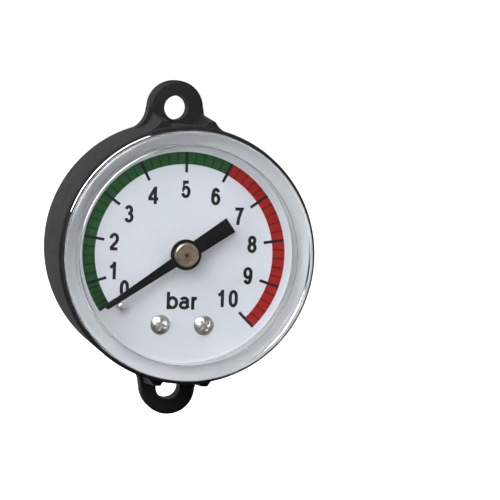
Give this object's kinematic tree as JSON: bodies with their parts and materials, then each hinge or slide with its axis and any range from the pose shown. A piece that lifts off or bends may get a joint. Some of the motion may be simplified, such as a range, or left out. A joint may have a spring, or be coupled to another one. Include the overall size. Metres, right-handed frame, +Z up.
{
  "type": "pressure gauge",
  "caption": "Round pressure gauge with a domed clear lens, screw ears and a centre-back push-in stem with a sealing ring.",
  "frame": {"origin": "middle of the two ear holes, in the plane on which the ears rest, on the common axis of case, pointer and stem", "axes": "+X right and +Z up as the dial is read, dial facing -Y, stem along +Y"},
  "size_m": [0.041, 0.0396, 0.055],
  "materials": {
    "case_plastic": "satin black moulded ABS",
    "lens_plastic": "clear polished plastic",
    "dial_white": "white lacquered sheet, printed",
    "pointer_black": "matt black lacquer",
    "nickel": "bright nickel",
    "steel": "turned steel",
    "zinc_steel": "zinc plated",
    "brass": "turned and milled brass",
    "tube_bronze": "drawn bronze tube",
    "spring_bronze": "rolled bronze strip",
    "ring_rubber": "moulded nitrile rubber"
  },
  "bodies": {
    "housing": {"case": "case_plastic", "lens": "lens_plastic", "dial": "dial_white", "dial_screws": "nickel", "dial_posts": "brass", "stop_pin": "nickel", "socket": "brass", "o_ring": "ring_rubber", "case_screws": "zinc_steel", "bourdon_tube": "tube_bronze", "rear_plate": "brass", "front_plate": "brass", "plate_pillars": "brass", "pillar_screws": "steel", "plate_screws": "steel", "hairspring": "spring_bronze", "hairspring_stud": "brass"},
    "pointer_group": {"pointer": "pointer_black", "pointer_hub": "nickel", "pinion_shaft": "steel", "hairspring_collet": "brass"},
    "sector_group": {"sector_gear": "brass", "sector_arbor": "steel", "link_pin": "steel"},
    "tube_end": {"tube_tip": "brass", "tip_screw": "steel"},
    "link_bar": {"link": "nickel"}
  },
  "joints": [
    {"name": "pointer_turn", "type": "hinge", "parent": "housing", "child": "pointer_group", "pos_m": [0, -0.01, 0], "axis": [0, 1, 0], "range_deg": [0, 259.8], "stiffness_Nm_per_rad": 0.00004, "springref_deg": -17.19, "deforming": ["hairspring"]},
    {"name": "sector_turn", "type": "hinge", "parent": "housing", "child": "sector_group", "pos_m": [0.0054, -0.012, -0.00935], "axis": [0, -1, 0], "range_deg": [0, 32.68]},
    {"name": "tube_end_turn", "type": "hinge", "parent": "housing", "child": "tube_end", "pos_m": [-0.003, -0.006, 0.0025], "axis": [0, -1, 0], "range_deg": [0, 7.3], "deforming": ["bourdon_tube"]},
    {"name": "link_turn", "type": "hinge", "parent": "sector_group", "child": "link_bar", "pos_m": [0.00859, -0.0114, -0.01052], "axis": [0, 1, 0], "range_deg": [0, 35.2]}
  ],
  "couplings": [
    {"joint": "sector_turn", "follows": "pointer_turn", "ratio": 0.125},
    {"joint": "tube_end_turn", "follows": "pointer_turn", "ratio": 0.02766},
    {"joint": "link_turn", "follows": "pointer_turn", "ratio": 0.13525}
  ]
}
